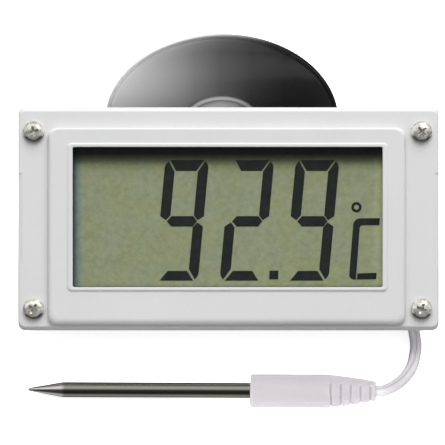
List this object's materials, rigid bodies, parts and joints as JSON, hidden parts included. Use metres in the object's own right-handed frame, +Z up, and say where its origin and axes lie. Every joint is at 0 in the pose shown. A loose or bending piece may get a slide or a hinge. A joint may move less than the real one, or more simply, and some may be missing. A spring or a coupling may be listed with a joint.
{
  "type": "digital tank thermometer",
  "caption": "Liquid-crystal thermometer with a leaning case on a tilting suction-cup arm, and a pointed steel probe on a short white cord.",
  "frame": {"origin": "on the surface it stands on, under the centre of the box of the display and its suction cup, without the cord and probe", "axes": "+X to the right along the display, +Y to the back, out through the suction cup, +Z up"},
  "size_m": [0.1146, 0.0809, 0.0676],
  "materials": {
    "shell": "satin light grey ABS",
    "window": "clear polished acrylic",
    "lcd_glass": "polarised display glass, olive green",
    "lcd_film": "reflector film",
    "black_plastic": "black moulded",
    "seal_rubber": "soft dark grey rubber",
    "circuit_board": "green solder mask",
    "screw_steel": "nickel-plated steel",
    "battery_wrap": "plain printed film wrap",
    "lead_red": "red wire insulation",
    "lead_black": "black wire insulation",
    "ceramic": "tan coating",
    "cord_white": "soft white PVC",
    "handle_white": "white moulding with a faint lilac tint",
    "probe_steel": "polished stainless steel",
    "cup_rubber": "glossy dark smoke PVC"
  },
  "bodies": {
    "case": {"battery_cell": "battery_wrap", "battery_contact_minus": "screw_steel", "battery_contact_plus": "screw_steel", "battery_lead_black": "lead_black", "battery_lead_red": "lead_red", "battery_spring": "screw_steel", "bezel_gasket": "seal_rubber", "bias_resistor": "ceramic", "board_screw_1": "screw_steel", "board_screw_2": "screw_steel", "board_screw_3": "screw_steel", "board_screw_4": "screw_steel", "bracket_screw_left": "screw_steel", "bracket_screw_right": "screw_steel", "cable_grommet": "seal_rubber", "circuit_board": "circuit_board", "corner_screw_lower_left": "screw_steel", "corner_screw_lower_right": "screw_steel", "corner_screw_upper_left": "screw_steel", "corner_screw_upper_right": "screw_steel", "display_driver": "black_plastic", "filter_capacitor": "black_plastic", "front_bezel": "shell", "hinge_bracket": "shell", "hinge_pin": "screw_steel", "lcd_frame": "black_plastic", "lcd_glass": "lcd_glass", "lcd_reflector": "lcd_film", "pin_clip": "screw_steel", "probe_cord": "cord_white", "probe_handle": "handle_white", "probe_tube": "probe_steel", "rear_case": "shell", "sensor_lead_left": "cord_white", "sensor_lead_right": "cord_white", "thermistor_bead": "ceramic", "thermistor_lead_left": "screw_steel", "thermistor_lead_right": "screw_steel", "timing_crystal": "screw_steel", "window_lens": "window", "zebra_strip_lower": "seal_rubber", "zebra_strip_upper": "seal_rubber"},
    "door": {"battery_door": "shell"},
    "arm": {"swivel_arm": "shell"},
    "cup": {"suction_cup": "cup_rubber"}
  },
  "joints": [
    {"name": "tilt", "type": "hinge", "parent": "case", "child": "arm", "pos_m": [-0.0016, 0.01843, 0.02128], "axis": [1, 0, 0], "range_deg": [-60, 5]},
    {"name": "cup_turn", "type": "hinge", "parent": "arm", "child": "cup", "pos_m": [-0.0016, 0.026, 0.0338], "axis": [0, 1, 0], "continuous": true},
    {"name": "door_lift", "type": "slide", "parent": "case", "child": "door", "axis": [0, 0.7071, -0.7071], "range_m": [0, 0.008]}
  ]
}
